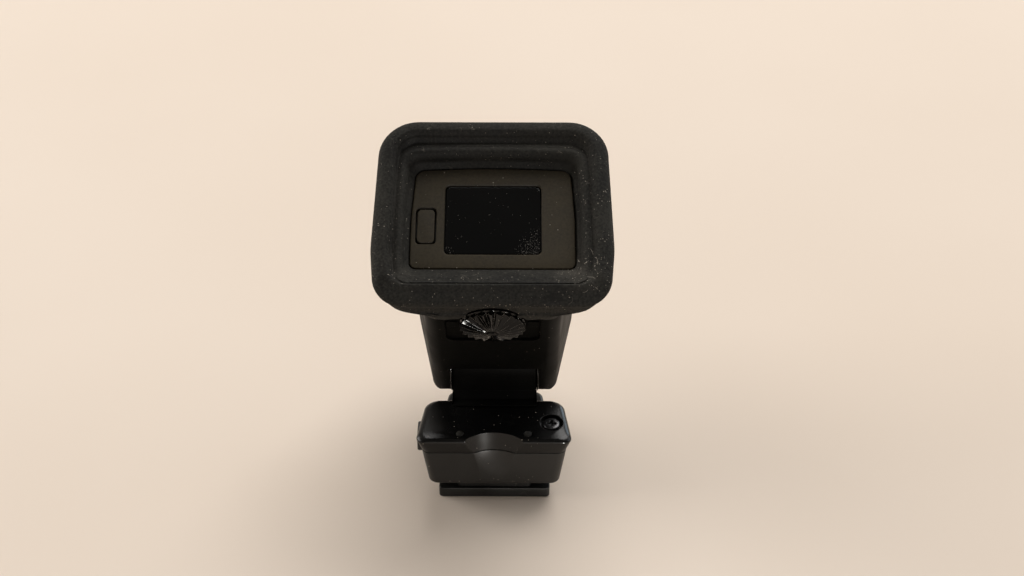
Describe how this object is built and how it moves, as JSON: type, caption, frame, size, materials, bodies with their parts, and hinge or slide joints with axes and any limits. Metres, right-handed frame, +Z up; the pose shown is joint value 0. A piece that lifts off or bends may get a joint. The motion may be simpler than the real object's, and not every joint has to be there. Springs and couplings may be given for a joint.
{
  "type": "electronic viewfinder",
  "caption": "Clip-on electronic viewfinder with a tilting eyepiece tube, rubber eyecup, diopter dial and a locking accessory-shoe foot.",
  "frame": {"origin": "centre of the foot's flat bottom face", "axes": "+X to the right for someone behind the finder, +Y forward, away from the eye, +Z up"},
  "size_m": [0.037, 0.0416, 0.0593],
  "materials": {
    "foot_black": "satin black, fine grain",
    "case_black": "semi-matt black",
    "cover_black": "satin to glossy black",
    "tube_black": "matt black, fine grain",
    "panel_brown": "matt warm black",
    "inner_black": "moulded black",
    "dial_black": "glossy black",
    "rubber": "matt, lightly dusty",
    "cover_glass": "coated, dark",
    "lens_glass": "clear, polished",
    "display_black": "glossy panel, off",
    "steel": "plain",
    "black_screw": "blackened",
    "contact_gold": "gold plated",
    "board_green": "circuit board",
    "chip_black": "moulded",
    "ribbon_amber": "polyimide film"
  },
  "bodies": {
    "base": {"shoe_foot": "foot_black", "foot_neck": "foot_black", "contact_carrier": "inner_black", "contact_comb": "contact_gold", "foot_screw_1": "black_screw", "foot_screw_2": "black_screw", "foot_screw_3": "black_screw", "foot_screw_4": "black_screw", "base_case": "case_black", "base_cover": "cover_black", "cover_screw": "black_screw", "rest_pad_left": "rubber", "rest_pad_right": "rubber", "lever_axle": "steel", "lock_spring": "steel", "base_board": "board_green", "board_socket": "chip_black", "base_ribbon": "ribbon_amber", "hinge_arm": "tube_black", "hinge_screw_left": "steel", "hinge_screw_right": "steel"},
    "finder": {"housing_lower": "tube_black", "housing_upper": "tube_black", "front_cover": "tube_black", "tilt_bracket": "steel", "bracket_screw_1": "steel", "bracket_screw_2": "steel", "friction_washer_left": "steel", "friction_washer_right": "steel", "finder_board": "board_green", "driver_chip": "chip_black", "finder_ribbon": "ribbon_amber", "optics_frame": "inner_black", "display_plate": "steel", "display_panel": "display_black", "guide_rod_1": "steel", "guide_rod_2": "steel", "eyepiece_frame": "inner_black", "eye_panel": "panel_brown", "cover_glass": "cover_glass", "sensor_window": "panel_brown", "eye_sensor": "chip_black", "sensor_board": "board_green", "eyecup": "rubber"},
    "dial": {"diopter_dial": "dial_black", "dial_shaft": "inner_black", "dial_clip": "steel"},
    "carrier": {"lens_carrier": "inner_black", "display_lens": "lens_glass", "middle_lens": "lens_glass", "eye_lens": "lens_glass", "lens_ring": "inner_black"},
    "lock_pin": {"lock_pin": "steel"},
    "lever": {"lock_lever": "inner_black"},
    "button": {"lock_button": "case_black"}
  },
  "joints": [
    {"name": "tube_tilt", "type": "hinge", "parent": "base", "child": "finder", "pos_m": [0, 0.00583, 0.0178], "axis": [-1, 0, 0], "range_deg": [-62, 28]},
    {"name": "dial_turn", "type": "hinge", "parent": "finder", "child": "dial", "pos_m": [0, -0.00916, 0.03747], "axis": [0, 0.8829, 0.4695], "range_deg": [-75, 75]},
    {"name": "carrier_slide", "type": "slide", "parent": "finder", "child": "carrier", "axis": [0, 0.4695, -0.8829], "range_m": [-0.00081, 0.00081]},
    {"name": "pin_slide", "type": "slide", "parent": "base", "child": "lock_pin", "axis": [0, 0, 1], "range_m": [-0.0007, 0.0008], "stiffness_N_per_m": 40, "springref_m": -0.0007, "deforming": ["lock_spring"]},
    {"name": "lever_turn", "type": "hinge", "parent": "base", "child": "lever", "pos_m": [-0.0056, -0.0051, 0.0092], "axis": [0, -1, 0], "range_deg": [-8, 9]},
    {"name": "button_slide", "type": "slide", "parent": "base", "child": "button", "axis": [1, 0, 0], "range_m": [-0.0005, 0.0006]}
  ],
  "couplings": [
    {"joint": "dial_turn", "follows": "carrier_slide", "rad_per_m": 1612.9},
    {"joint": "lever_turn", "follows": "pin_slide", "rad_per_m": 178.57},
    {"joint": "button_slide", "follows": "pin_slide", "ratio": 0.57143}
  ]
}
